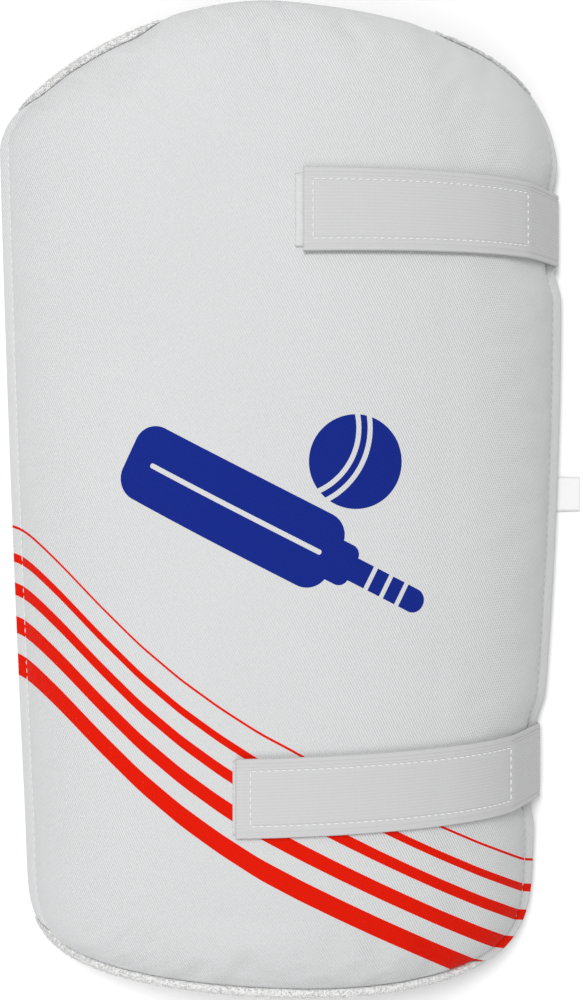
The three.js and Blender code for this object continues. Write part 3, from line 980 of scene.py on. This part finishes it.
def offset_path(line, far_end, gap):
    """The line moved out by a gap, with its corners rounded."""
    path = np.vstack([line, [far_end, line[-1][1]]])
    run = np.diff(path, axis=0)
    angles = np.unwrap(np.arctan2(run[:, 0], -run[:, 1]))
    places = []
    for i, point in enumerate(path):
        first = angles[max(i - 1, 0)]
        last = angles[min(i, len(angles) - 1)]
        fan = max(1, math.ceil(abs(last - first) / 0.2))
        shares = [0.5] if fan == 1 else np.linspace(0, 1, fan + 1)
        for share in shares:
            turn = lerp(first, last, share) + math.pi / 2
            direction = np.array([math.sin(turn), -math.cos(turn)])
            places.append(point + direction * gap)
    return np.array(places)


def resample(places, spacing):
    """Even stations along a line, with the direction square to it."""
    lengths = np.concatenate([[0], np.cumsum(np.hypot(*np.diff(places, axis=0).T))])
    stations = np.linspace(0, lengths[-1], int(lengths[-1] / spacing) + 1)
    even = np.column_stack([np.interp(stations, lengths, places[:, k]) for k in range(2)])
    even[1:-1] = (even[:-2] + 2 * even[1:-1] + even[2:]) / 4
    run = np.gradient(even, axis=0)
    run /= np.hypot(*run.T)[:, None]
    return even, np.column_stack([-run[:, 1], run[:, 0]]), stations


def webbing_profile(width):
    """Places across ribbed webbing and its half thickness there."""
    across = np.linspace(-width / 2, width / 2, 125)
    edge = width / 2 - np.abs(across)
    ribs = 0.5 - 0.5 * np.sin(across * 2 * math.pi / RIB_PITCH)
    ribs = ribs * smoothstep(edge, 2 * MM, 3 * MM)
    grooves = np.exp(-((edge - 2.1 * MM) / (0.28 * MM)) ** 2)
    grooves += 0.6 * np.exp(-((edge - 3.6 * MM) / (0.28 * MM)) ** 2) * (across > 0)
    rounding = np.sqrt(1 - (1 - np.clip(edge / (0.8 * MM), 0, 1)) ** 2)
    half = STRAP_THICKNESS / 2 * np.maximum(rounding, 0.12)
    return across, half - 0.13 * MM * ribs - 0.42 * MM * grooves


class StrapPath:
    """The way of a strap's middle, from its free end round to the left rim."""

    def __init__(self, strap, surface):
        reach = STRAP_WIDTH * max(strap["end_width"], strap["rim_width"]) / 2
        places = (strap_middle(strap, 0), strap_middle(strap, 1))
        section = surface.between(min(places) - reach, max(places) + reach)
        start = strap["start"] * SHOULDER_WIDTH / 2
        line = taut_line(section, start, STRAP_THICKNESS + CLEARANCE)
        self.strap = strap
        self.over_pad = np.hypot(*np.diff(line, axis=0).T).sum()
        far_end = section[:, 0].min() + STRAP_TUCK
        path = offset_path(line, far_end, CLEARANCE + STRAP_THICKNESS / 2)
        self.path, self.away, self.travelled = resample(path, 1.4 * MM)
        self.path[:, 1] = np.maximum(self.path[:, 1], STRAP_THICKNESS / 2)

    def width(self, travelled):
        share = np.clip(travelled / self.over_pad, 0, 1)
        return STRAP_WIDTH * lerp(self.strap["end_width"], self.strap["rim_width"], share)

    def travelled_at(self, x):
        """How far along the strap a place across the guard's front is."""
        turn = np.argmax(self.path[:, 0])
        return float(np.interp(x, self.path[:turn, 0], self.travelled[:turn]))

    def points(self, travelled, across, lift):
        """Places on the strap, and the directions that lead out from it."""
        spot = [np.interp(travelled, self.travelled, self.path[:, k]) for k in range(2)]
        out = [np.interp(travelled, self.travelled, self.away[:, k]) for k in range(2)]
        y = strap_middle(self.strap, travelled / self.over_pad) + across
        places = np.column_stack([spot[0] + out[0] * lift, y, spot[1] + out[1] * lift])
        return places, np.column_stack([out[0], np.zeros_like(y), out[1]])

    def box_stitch(self):
        """Corners of the sewn box, as distances along and across the strap."""
        first, last = (self.travelled_at(x) for x in self.strap["stitched"])
        corners = []
        for along, side in ((first, -1), (last, -1), (last, 1), (first, 1), (first, -1)):
            corners.append((along, side * (self.width(along) / 2 - STITCH_MARGIN)))
        return np.array(corners)


def stitch_dip(along, across, corners):
    """How far the box stitch draws the webbing in at places on it."""
    near = np.full(np.broadcast(along, across).shape, 1.0)
    for (a0, c0), (a1, c1) in zip(corners, corners[1:]):
        run = np.array([a1 - a0, c1 - c0])
        length = np.hypot(*run)
        share = ((along - a0) * run[0] + (across - c0) * run[1]) / length ** 2
        share = np.clip(share, 0, 1)
        gap = np.hypot(along - a0 - share * run[0], across - c0 - share * run[1])
        near = np.minimum(near, gap)
    return 0.32 * MM * np.exp(-(near / (0.75 * MM)) ** 2)


def make_strap(strap, way, material):
    """An elastic strap from its free end on the front round to the left rim."""
    across, half = webbing_profile(STRAP_WIDTH)
    corners = way.box_stitch()
    rows = []
    for travelled in way.travelled:
        sideways = across * way.width(travelled) / STRAP_WIDTH
        along = np.full_like(across, travelled)
        dip = stitch_dip(travelled, sideways, corners)
        upper, _ = way.points(along, sideways, half - dip)
        lower, _ = way.points(along, sideways, -half)
        rows.append(np.vstack([upper, lower[-2:0:-1]]))
    per_row = len(rows[0])
    lanes = len(across)
    index = np.arange(len(rows) * per_row).reshape(len(rows), per_row)
    faces = []
    for a, b in zip(index, index[1:]):
        faces.extend(np.column_stack([a, b, np.roll(b, -1), np.roll(a, -1)]).tolist())
    for row, flip in ((index[0], False), (index[-1], True)):
        around = np.roll(row, -lanes + 1)
        for k in range(lanes - 1):
            corner = [row[lanes - 1 - k], row[lanes - 2 - k], around[k + 1], around[k]]
            corner = list(dict.fromkeys(int(v) for v in corner))
            if len(corner) > 2:
                faces.append(corner if flip else corner[::-1])
    name = f"{strap['name']}_elastic"
    piece = make_object(name, np.vstack(rows), faces, material)
    along = np.repeat(way.travelled, per_row)
    sideways = np.tile(np.concatenate([across, across[-2:0:-1]]), len(rows))
    store(piece, "strap", np.column_stack([along, sideways, along * 0]))
    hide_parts(f"{strap['name']}_strap")
    return piece


def make_box_stitch(strap, way, sizes, material):
    """The stitching that holds a strap's end down."""
    corners = way.box_stitch()
    threads = []
    faces = []
    count = 0
    for (a0, c0), (a1, c1) in zip(corners, corners[1:]):
        share = np.linspace(0, 1, 60)
        lift = STRAP_THICKNESS / 2 - 0.3 * MM
        line, up = way.points(lerp(a0, a1, share), lerp(c0, c1, share), lift)
        pitch = sizes.stitch_pitch * 0.85
        points, quads = stitch_run(line, up, pitch, 0.72, sizes.thread_thickness * 0.4)
        threads.append(points)
        faces.extend([[v + count for v in quad] for quad in quads])
        count += len(points)
    piece = make_object(f"{strap['name']}_box_stitching", np.vstack(threads), faces, material)
    return piece


def make_patch(strap, surface, material):
    """The grip patch sewn to the cover under a strap's free end."""
    half = SHOULDER_WIDTH / 2
    start = strap["start"] * half
    columns, lanes = 110, 34
    x = np.linspace(start - strap["show"], strap["patch"] * half, columns)
    lane = np.linspace(-0.5, 0.5, lanes)
    share = (x - start) / (half - start)
    grid_x, grid_lane = np.meshgrid(x, lane, indexing="ij")
    grid_y = strap_middle(strap, share)[:, None] + PATCH_WIDTH * grid_lane
    base = surface.height(grid_x, grid_y)
    slope_x = np.gradient(base, axis=0) / np.gradient(grid_x, axis=0)
    tilt = np.sqrt(1 + np.clip(slope_x, -2, 2) ** 2)
    border = np.minimum.reduce([
        np.arange(columns)[:, None] * np.ones(lanes), (columns - 1 - np.arange(columns))[:, None]
        * np.ones(lanes), np.ones(columns)[:, None] * np.arange(lanes),
        np.ones(columns)[:, None] * (lanes - 1 - np.arange(lanes)),
    ])
    rounding = np.where(border == 0, 0.55, np.where(border == 1, 0.9, 1.0))
    pile = 0.12 * MM * soft_noise(grid_x.ravel(), grid_y.ravel(), 1.3 * MM, 4.0).reshape(base.shape)
    upper = base + (CLEARANCE / 2 + PATCH_THICKNESS * rounding + pile * (border > 0)) * tilt
    lower = base + CLEARANCE / 2 * tilt
    points = np.vstack([
        np.column_stack([grid_x.ravel(), grid_y.ravel(), upper.ravel()]),
        np.column_stack([grid_x.ravel(), grid_y.ravel(), lower.ravel()]),
    ])
    high = np.arange(columns * lanes).reshape(columns, lanes)
    low = high + columns * lanes
    faces = []
    for grid, flip in ((high, False), (low, True)):
        quads = np.column_stack([
            grid[:-1, :-1].ravel(), grid[1:, :-1].ravel(), grid[1:, 1:].ravel(),
            grid[:-1, 1:].ravel(),
        ])
        faces.extend((quads[:, ::-1] if flip else quads).tolist())
    rim = np.concatenate([high[:-1, 0], high[-1, :-1], high[:0:-1, -1], high[0, :0:-1]])
    under = rim + columns * lanes
    faces.extend(np.column_stack([rim, under, np.roll(under, -1), np.roll(rim, -1)]).tolist())
    name = f"{strap['name']}_grip"
    piece = make_object(name, points, faces, material)
    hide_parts(f"{strap['name']}_grip_patch")
    return piece


def stitch_run(points, up, pitch, share, radius):
    """Lockstitches laid end to end along a line; each fills a share of its pitch."""
    run = np.diff(points, axis=0)
    lengths = np.concatenate([[0], np.cumsum(np.linalg.norm(run, axis=1))])
    count = int(lengths[-1] / pitch)
    length = share * lengths[-1] / count
    sides, rings = 6, 6
    all_points = []
    faces = []
    for k in range(count):
        middle = (k + 0.5) * lengths[-1] / count
        stations = np.linspace(middle - length / 2, middle + length / 2, rings)
        spine = np.column_stack([np.interp(stations, lengths, points[:, c]) for c in range(3)])
        lift = np.array([np.interp(middle, lengths, up[:, c]) for c in range(3)])
        lift /= np.linalg.norm(lift)
        ahead = spine[-1] - spine[0]
        ahead /= np.linalg.norm(ahead)
        beside = np.cross(ahead, lift)
        bend = np.sin(np.linspace(0, math.pi, rings))
        first = len(all_points) * sides
        for ring in range(rings):
            size = radius * (0.55 + 0.45 * bend[ring])
            centre = spine[ring] + lift * radius * (1.1 * bend[ring] - 0.5)
            turns = np.linspace(0, 2 * math.pi, sides, endpoint=False)
            all_points.append(
                centre + size * (np.cos(turns)[:, None] * beside + np.sin(turns)[:, None] * lift)
            )
        for ring in range(rings - 1):
            for side in range(sides):
                a = first + ring * sides + side
                b = first + ring * sides + (side + 1) % sides
                faces.append([a, b, b + sides, a + sides])
        faces.append([first + side for side in range(sides)][::-1])
        faces.append([first + (rings - 1) * sides + side for side in range(sides)])
    return np.vstack(all_points), faces


def make_edge_stitch(sizes, material):
    """The topstitch along the cover's two flanks, inside its edge."""
    x, y, layer = panel_ring(FLANGE_WIDTH, sizes)
    layer = layer + sizes.thread_thickness * 0.25
    points = np.column_stack([x, y, arch_height(x, y, layer)])
    higher = np.column_stack([x, y, arch_height(x, y, layer + MM)])
    up = higher - points + np.column_stack([OUTWARD * 0.6 * MM, np.zeros(COUNT)])
    shown = np.flatnonzero(SEAMS - LIP_REACH > 2 * MM)
    stitches = []
    faces = []
    count = 0
    for run in np.split(shown, np.flatnonzero(np.diff(shown) > 1) + 1):
        threads, quads = stitch_run(
            points[run], up[run], sizes.stitch_pitch, 0.85, sizes.thread_thickness / 2,
        )
        stitches.append(threads)
        faces.extend([[v + count for v in quad] for quad in quads])
        count += len(threads)
    piece = make_object("edge_stitching", np.vstack(stitches), faces, material)
    return piece


def make_label(material):
    """The bare folded tag that sticks out from under the right rim."""
    low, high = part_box("size_label")
    low = np.array(low) - SHIFT
    high = np.array(high) - SHIFT
    ply = 0.3 * MM
    middle = (low[2] + high[2]) / 2
    radius = (high[2] - low[2]) / 2 - ply / 2
    reach = np.linspace(low[0], high[0] - radius, 22)
    fold = np.linspace(math.pi / 2, -math.pi / 2, 9)[1:-1]
    bow = 0.1 * MM * np.sin(np.linspace(0, math.pi, 22))
    top = np.column_stack([reach, middle + radius + bow])
    nose = np.column_stack([high[0] - radius + radius * np.cos(fold), middle + radius * np.sin(fold)])
    bottom = np.column_stack([reach[::-1], middle - radius - bow * 0.3])
    path = np.vstack([top, nose, bottom])
    run = np.gradient(path, axis=0)
    run /= np.hypot(*run.T)[:, None]
    away = np.column_stack([-run[:, 1], run[:, 0]])
    lanes = np.linspace(low[1], high[1], 13)
    points = []
    for place, out in zip(path, away):
        for side in (0.5, -0.5):
            spot = place + out * ply * side
            order = lanes if side > 0 else lanes[::-1]
            points.append(np.column_stack([
                np.full(13, spot[0]), order, np.full(13, spot[1]),
            ]))
    points = np.vstack(points)
    rows = len(path)
    index = np.arange(rows * 26).reshape(rows, 26)
    faces = []
    for a, b in zip(index, index[1:]):
        faces.extend(np.column_stack([a, b, np.roll(b, -1), np.roll(a, -1)]).tolist())
    for row, flip in ((index[0], False), (index[-1], True)):
        for k in range(12):
            quad = [int(row[k]), int(row[k + 1]), int(row[24 - k]), int(row[25 - k])]
            faces.append(quad[::-1] if flip else quad)
    tag = make_object("size_tag", points, faces, material)
    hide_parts("size_label")
    return tag


# Stage


def make_stage(sizes, colours):
    """The pale floor, soft lights and a camera straight above the guard."""
    mesh = bpy.data.meshes.new("studio_floor")
    reach = 3.0
    corners = [(-reach, -reach, 0), (reach, -reach, 0), (reach, reach, 0), (-reach, reach, 0)]
    mesh.from_pydata(corners, [], [[0, 1, 2, 3]])
    mesh.materials.append(floor_material(colours))
    floor = bpy.data.objects.new("studio_floor", mesh)
    bpy.context.scene.collection.objects.link(floor)

    lights = (
        ("key_light", (-0.45, 0.8, 2.4), 0.9, sizes.key_power),
        ("fill_light", (-0.4, -1.2, 2.2), 2.0, sizes.fill_power),
    )
    for name, place, size, power in lights:
        light = bpy.data.lights.new(name, "AREA")
        light.shape = "DISK"
        light.size = size
        light.energy = power
        lamp = bpy.data.objects.new(name, light)
        lamp.location = place
        lamp.rotation_euler = (-Vector(place)).to_track_quat("-Z", "Y").to_euler()
        bpy.context.scene.collection.objects.link(lamp)

    world = bpy.data.worlds.new("studio")
    world.use_nodes = True
    background = world.node_tree.nodes["Background"]
    background.inputs["Color"].default_value = (1.0, 1.0, 1.0, 1.0)
    background.inputs["Strength"].default_value = sizes.world_strength
    bpy.context.scene.world = world
    bpy.context.scene.view_settings.view_transform = "Standard"

    camera = bpy.data.cameras.new("camera")
    camera.sensor_width = 36
    camera.lens = sizes.lens
    camera.clip_start = 0.01
    eye = bpy.data.objects.new("camera", camera)
    eye.location = (sizes.camera_across + SHIFT[0], SHIFT[1], sizes.camera_height)
    bpy.context.scene.collection.objects.link(eye)
    bpy.context.scene.camera = eye


# The add-on


def size_property(name, description, default):
    return bpy.props.FloatProperty(
        name=name, description=description, default=default, min=0, precision=5, unit="LENGTH",
    )


def colour_property(name, description, default):
    return bpy.props.FloatVectorProperty(
        name=name, description=description, default=default, size=3, min=0, max=1,
        subtype="COLOR",
    )


class GuardSizes(bpy.types.PropertyGroup):
    twill_pitch: size_property("Twill Pitch", "Distance between two twill lines", 0.95 * MM)
    # Strength of the painted shade that darkens the twill's valleys in the cover's colour
    twill_valley_shade: bpy.props.FloatProperty(
        name="Twill Contrast", description="How much darker the twill's valleys are",
        default=0.04, min=0, max=0.5, subtype="FACTOR",
    )
    twill_angle: bpy.props.FloatProperty(
        name="Twill Angle", description="Angle of the twill lines, in degrees", default=117,
    )
    weft_pitch: size_property("Weft Pitch", "Distance between two cross threads", 0.9 * MM)
    pucker_depth: size_property("Pucker Depth", "Depth of the puckers at the seam", 0.45 * MM)
    swell_depth: size_property("Swell Depth", "Unevenness of the foam", 0.5 * MM)
    gathering: bpy.props.FloatProperty(
        name="Gathering", description="Spare cloth gathered in at the seam",
        default=0.03, min=0, max=0.2, subtype="FACTOR",
    )
    cloth_pressure: bpy.props.FloatProperty(
        name="Cloth Pressure", description="How hard the foam presses the cloth out", default=1.5,
    )
    groove_depth: size_property("Groove Depth", "Depth of the topstitch's groove", 0.7 * MM)
    stitch_pitch: size_property("Stitch Pitch", "Length of one topstitch", 3.4 * MM)
    thread_thickness: size_property("Thread", "Thickness of the sewing thread", 0.75 * MM)
    camera_height: size_property("Camera Height", "Height above the floor", 666 * MM)
    camera_across: size_property("Camera Across", "Place of the camera across", 4.8 * MM)
    lens: bpy.props.FloatProperty(name="Lens", description="Focal length in mm", default=55.49)
    key_power: bpy.props.FloatProperty(
        name="Key Power", description="Power of the key light in watts", default=37,
    )
    fill_power: bpy.props.FloatProperty(
        name="Fill Power", description="Power of the fill light in watts", default=17,
    )
    world_strength: bpy.props.FloatProperty(
        name="World Strength", description="Strength of the even light", default=0.42,
    )


class GuardColours(bpy.types.PropertyGroup):
    cover: colour_property("Cover", "Unprinted cloth", (0.7, 0.705, 0.71))
    stripes: colour_property("Stripes", "Printed stripes", (0.78, 0.011, 0.002))
    motif: colour_property("Motif", "Printed bat and ball", (0.009, 0.024, 0.25))
    lining: colour_property("Lining", "Towelling", (0.83, 0.83, 0.825))
    elastic: colour_property("Elastic", "Straps", (0.58, 0.58, 0.585))
    patch: colour_property("Grip Patch", "Loop tape", (0.64, 0.64, 0.645))
    thread: colour_property("Thread", "Sewing thread", (0.82, 0.82, 0.82))
    label: colour_property("Label", "Folded tag", (0.88, 0.88, 0.88))
    floor: colour_property("Floor", "Studio floor", (0.97, 0.97, 0.97))


def piece_named(name):
    piece = bpy.data.objects.get(name)
    if piece is None:
        raise RuntimeError(f"{name} has to be made first")
    return piece


class GUARD_OT_stage(bpy.types.Operator):
    """Make the floor, the lights and the camera"""

    bl_idname = "thigh_guard.stage"
    bl_label = "Make Stage"

    def execute(self, context):
        make_stage(context.scene.guard_sizes, context.scene.guard_colours)
        return {"FINISHED"}


class GUARD_OT_cover(bpy.types.Operator):
    """Make the printed cover over its foam"""

    bl_idname = "thigh_guard.cover"
    bl_label = "Make Cover"

    def execute(self, context):
        sizes = context.scene.guard_sizes
        make_cover(sizes, cover_material(sizes, context.scene.guard_colours))
        return {"FINISHED"}


class GUARD_OT_lining(bpy.types.Operator):
    """Make the towelling lining"""

    bl_idname = "thigh_guard.lining"
    bl_label = "Make Lining"

    def execute(self, context):
        make_lining(towelling_material(context.scene.guard_colours))
        return {"FINISHED"}


class GUARD_OT_patches(bpy.types.Operator):
    """Make the grip patches under the straps' free ends"""

    bl_idname = "thigh_guard.patches"
    bl_label = "Make Grip Patches"

    def execute(self, context):
        surface = Surface(piece_named("cover"))
        material = grip_material(context.scene.guard_colours)
        for strap in STRAPS:
            make_patch(strap, surface, material)
        return {"FINISHED"}


class GUARD_OT_straps(bpy.types.Operator):
    """Make the two elastic straps and their box stitches"""

    bl_idname = "thigh_guard.straps"
    bl_label = "Make Straps"

    def execute(self, context):
        material = elastic_material(context.scene.guard_sizes, context.scene.guard_colours)
        thread = thread_material(context.scene.guard_colours)
        for strap in STRAPS:
            patch = piece_named(f"{strap['name']}_grip")
            way = StrapPath(strap, Surface(piece_named("cover"), piece_named("lining"), patch))
            make_strap(strap, way, material)
            make_box_stitch(strap, way, context.scene.guard_sizes, thread)
        return {"FINISHED"}


class GUARD_OT_stitching(bpy.types.Operator):
    """Make the topstitch round the cover"""

    bl_idname = "thigh_guard.stitching"
    bl_label = "Make Stitching"

    def execute(self, context):
        material = thread_material(context.scene.guard_colours)
        make_edge_stitch(context.scene.guard_sizes, material)
        return {"FINISHED"}


class GUARD_OT_label(bpy.types.Operator):
    """Make the folded tag at the rim"""

    bl_idname = "thigh_guard.label"
    bl_label = "Make Label"

    def execute(self, context):
        make_label(satin_material(context.scene.guard_colours))
        return {"FINISHED"}


OPERATORS = (
    GUARD_OT_stage, GUARD_OT_cover, GUARD_OT_lining, GUARD_OT_patches, GUARD_OT_straps,
    GUARD_OT_stitching, GUARD_OT_label,
)


class GUARD_PT_panel(bpy.types.Panel):
    """Sizes, colours and steps of the thigh guard"""

    bl_idname = "GUARD_PT_panel"
    bl_label = "Thigh Guard"
    bl_space_type = "VIEW_3D"
    bl_region_type = "UI"
    bl_category = "Thigh Guard"

    def draw(self, context):
        layout = self.layout
        for group in (context.scene.guard_sizes, context.scene.guard_colours):
            for name in group.__annotations__:
                layout.prop(group, name)
        for operator in OPERATORS:
            layout.operator(operator.bl_idname)


CLASSES = (GuardSizes, GuardColours, *OPERATORS, GUARD_PT_panel)


def register():
    for cls in CLASSES:
        bpy.utils.register_class(cls)
    bpy.types.Scene.guard_sizes = bpy.props.PointerProperty(type=GuardSizes)
    bpy.types.Scene.guard_colours = bpy.props.PointerProperty(type=GuardColours)


def unregister():
    del bpy.types.Scene.guard_colours
    del bpy.types.Scene.guard_sizes
    for cls in reversed(CLASSES):
        bpy.utils.unregister_class(cls)


def main():
    register()
    for operator in OPERATORS:
        group, name = operator.bl_idname.split(".")
        getattr(getattr(bpy.ops, group), name)()


if __name__ == "__main__":
    main()
